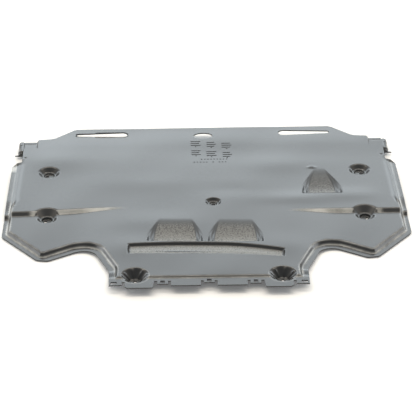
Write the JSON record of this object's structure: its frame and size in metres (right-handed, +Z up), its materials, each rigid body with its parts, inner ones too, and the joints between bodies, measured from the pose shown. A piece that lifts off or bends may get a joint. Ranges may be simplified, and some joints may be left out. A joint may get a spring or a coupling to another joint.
{
  "type": "engine splash shield",
  "caption": "Moulded plastic undertray for an engine bay, with bolt cups, ramp ducts, a stiffening groove, wheel cut-outs and a stepped flange.",
  "frame": {"origin": "middle of the sheet's width and depth, on the surface that the sheet lies on", "axes": "+X across the car to the right as seen with the tongue near, +Y from the tongue to the far edge, +Z up out of the road side"},
  "size_m": [0.994, 0.784, 0.0242],
  "materials": {
    "shell": "moulded black plastic with a soft sheen"
  },
  "bodies": {
    "root": {"splash_shield": "shell"}
  },
  "joints": []
}
